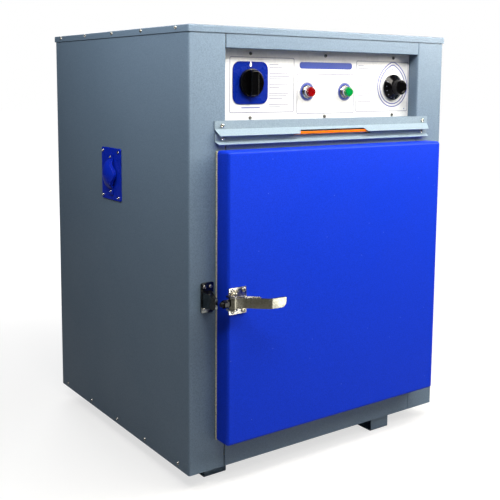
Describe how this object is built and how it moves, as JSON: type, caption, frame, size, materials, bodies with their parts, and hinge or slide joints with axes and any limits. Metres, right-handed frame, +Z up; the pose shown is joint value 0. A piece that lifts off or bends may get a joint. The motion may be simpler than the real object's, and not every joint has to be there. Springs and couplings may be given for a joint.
{
  "type": "bench hot air oven",
  "caption": "Bench hot air oven: painted steel cabinet on feet, right-hinged insulated door with lever latch, control panel with rotary knobs and lamps, thermometer guard, wire shelves.",
  "frame": {"origin": "On the surface that the feet stand on, under the middle of the part's box.", "axes": "+Z up, -Y out of the door's front, +X to the right when facing the door."},
  "size_m": [0.5498, 0.57, 0.69],
  "materials": {
    "cabinet_paint": "blue-grey textured paint",
    "door_paint": "royal blue textured paint",
    "fascia_paint": "cream white satin paint",
    "plate_blue": "blue enamelled plate",
    "stainless": "brushed stainless sheet",
    "zinc_steel": "bright zinc plating",
    "nickel": "bright nickel plating",
    "dark_nickel": "dull nickel plating",
    "heater_sheath": "heat-browned tube",
    "black_plastic": "black moulded plastic",
    "phenolic": "brown moulded phenolic",
    "red_lens": "clear red plastic",
    "green_lens": "clear green plastic",
    "orange_glass": "orange-backed thermometer glass",
    "gasket": "khaki sealing cord",
    "insulation": "glass wool slab"
  },
  "bodies": {
    "cabinet": {"left_side_panel": "cabinet_paint", "right_side_panel": "cabinet_paint", "top_cover": "cabinet_paint", "back_panel": "cabinet_paint", "base_pan": "cabinet_paint", "front_top_rail": "cabinet_paint", "front_mid_rail": "cabinet_paint", "front_bottom_rail": "cabinet_paint", "mouth_frame": "stainless", "chamber_liner": "stainless", "chamber_roof": "stainless", "insulation_jacket": "insulation", "divider_panel": "zinc_steel", "control_fascia": "fascia_paint", "thermometer_guard": "cabinet_paint", "drip_rail": "cabinet_paint", "thermometer": "orange_glass", "heat_selector_plate": "plate_blue", "heat_selector_switch": "phenolic", "thermostat_body": "phenolic", "thermostat_bulb": "zinc_steel", "lamp_red_bezel": "nickel", "lamp_red_lens": "red_lens", "lamp_green_bezel": "nickel", "lamp_green_lens": "green_lens", "left_handle_plate": "door_paint", "left_handle_grip": "door_paint", "right_handle_plate": "door_paint", "right_handle_grip": "door_paint", "foot_front_left": "cabinet_paint", "foot_front_right": "cabinet_paint", "foot_rear_left": "cabinet_paint", "foot_rear_right": "cabinet_paint", "cable_gland": "black_plastic", "terminal_block": "phenolic", "latch_keeper": "dark_nickel", "hinge_frame_leaf_lower": "nickel", "hinge_frame_leaf_upper": "nickel", "hinge_pin_lower": "zinc_steel", "hinge_pin_upper": "zinc_steel", "shelf_runner_left": "stainless", "shelf_runner_right": "stainless", "heater_left": "heater_sheath", "heater_right": "heater_sheath", "heater_cover": "stainless"},
    "door": {"door_outer": "door_paint", "door_inner_panel": "stainless", "door_insulation": "insulation", "door_gasket": "gasket", "hinge_door_leaf_lower": "nickel", "hinge_door_leaf_upper": "nickel", "latch_body": "nickel", "latch_pin": "zinc_steel"},
    "latch_lever": {"latch_handle": "nickel", "latch_bolt": "nickel", "latch_nut": "black_plastic"},
    "heat_selector": {"heat_selector_knob": "black_plastic"},
    "thermostat_knob": {"thermostat_dial": "black_plastic"},
    "upper_shelf": {"shelf_upper": "zinc_steel"},
    "lower_shelf": {"shelf_lower": "zinc_steel"}
  },
  "joints": [
    {"name": "door_hinge", "type": "hinge", "parent": "cabinet", "child": "door", "pos_m": [0.232, -0.212, 0.291], "axis": [0, 0, 1], "range_deg": [0, 110]},
    {"name": "latch_turn", "type": "hinge", "parent": "door", "child": "latch_lever", "pos_m": [-0.2125, -0.249, 0.2928], "axis": [0, 0, -1], "range_deg": [0, 35]},
    {"name": "heat_selector_turn", "type": "hinge", "parent": "cabinet", "child": "heat_selector", "pos_m": [-0.1392, -0.184, 0.6086], "axis": [0, 1, 0], "range_deg": [0, 270]},
    {"name": "thermostat_turn", "type": "hinge", "parent": "cabinet", "child": "thermostat_knob", "pos_m": [0.159, -0.184, 0.603], "axis": [0, 1, 0], "range_deg": [0, 300]},
    {"name": "upper_shelf_slide", "type": "slide", "parent": "cabinet", "child": "upper_shelf", "axis": [0, -1, 0], "range_m": [0, 0.025]},
    {"name": "lower_shelf_slide", "type": "slide", "parent": "cabinet", "child": "lower_shelf", "axis": [0, -1, 0], "range_m": [0, 0.025]}
  ]
}
